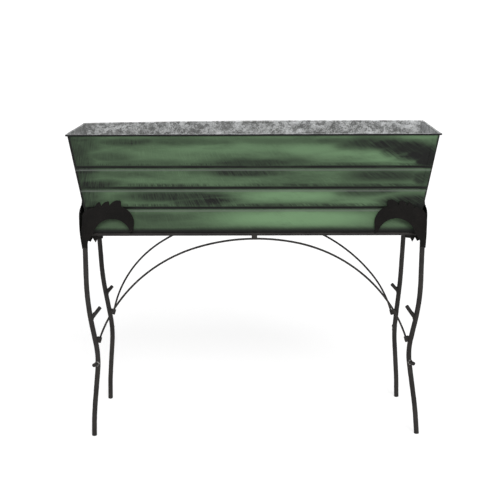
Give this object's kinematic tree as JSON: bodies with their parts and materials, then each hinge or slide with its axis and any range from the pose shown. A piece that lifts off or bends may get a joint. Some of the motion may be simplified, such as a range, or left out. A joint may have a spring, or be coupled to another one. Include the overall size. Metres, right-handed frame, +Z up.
{
  "type": "raised planter on legs",
  "caption": "Long flared sheet-metal trough with rolled rim and grooves, lifting out of a wrought stand with bent twig legs, arched braces and toothed leaf corners.",
  "frame": {"origin": "on the floor, under the middle of the planter", "axes": "+X along the trough to its right end seen from the front, +Y from front to back, +Z up"},
  "size_m": [0.904, 0.3055, 0.77],
  "materials": {
    "trough_sheet": "brushed green patina outside, bare galvanised inside, satin",
    "rim_wire": "dark, satin",
    "stand_bar": "dark brown-black, satin",
    "stand_leaf": "flat black with brown undertone"
  },
  "bodies": {
    "stand": {"back_apex_spacer": "stand_bar", "back_arch": "stand_bar", "back_left_arch_lug": "stand_bar", "back_left_end_leaf": "stand_leaf", "back_left_face_leaf": "stand_leaf", "back_left_gusset_leaf": "stand_leaf", "back_left_leg": "stand_bar", "back_left_lower_stub": "stand_bar", "back_left_upper_twig": "stand_bar", "back_rail": "stand_bar", "back_right_arch_lug": "stand_bar", "back_right_end_leaf": "stand_leaf", "back_right_face_leaf": "stand_leaf", "back_right_gusset_leaf": "stand_leaf", "back_right_leg": "stand_bar", "back_right_lower_stub": "stand_bar", "back_right_upper_twig": "stand_bar", "front_apex_spacer": "stand_bar", "front_arch": "stand_bar", "front_left_arch_lug": "stand_bar", "front_left_end_leaf": "stand_leaf", "front_left_face_leaf": "stand_leaf", "front_left_gusset_leaf": "stand_leaf", "front_left_leg": "stand_bar", "front_left_lower_stub": "stand_bar", "front_left_upper_twig": "stand_bar", "front_rail": "stand_bar", "front_right_arch_lug": "stand_bar", "front_right_end_leaf": "stand_leaf", "front_right_face_leaf": "stand_leaf", "front_right_gusset_leaf": "stand_leaf", "front_right_leg": "stand_bar", "front_right_lower_stub": "stand_bar", "front_right_upper_twig": "stand_bar", "left_end_rail": "stand_bar", "right_end_rail": "stand_bar"},
    "planter": {"back_rim_wire": "rim_wire", "front_rim_wire": "rim_wire", "left_end_panel": "trough_sheet", "left_rim_wire": "rim_wire", "right_end_panel": "trough_sheet", "right_rim_wire": "rim_wire", "trough_body": "trough_sheet"}
  },
  "joints": [
    {"name": "planter_lift", "type": "slide", "parent": "stand", "child": "planter", "axis": [0, 0, 1], "range_m": [0, 0.2]}
  ]
}
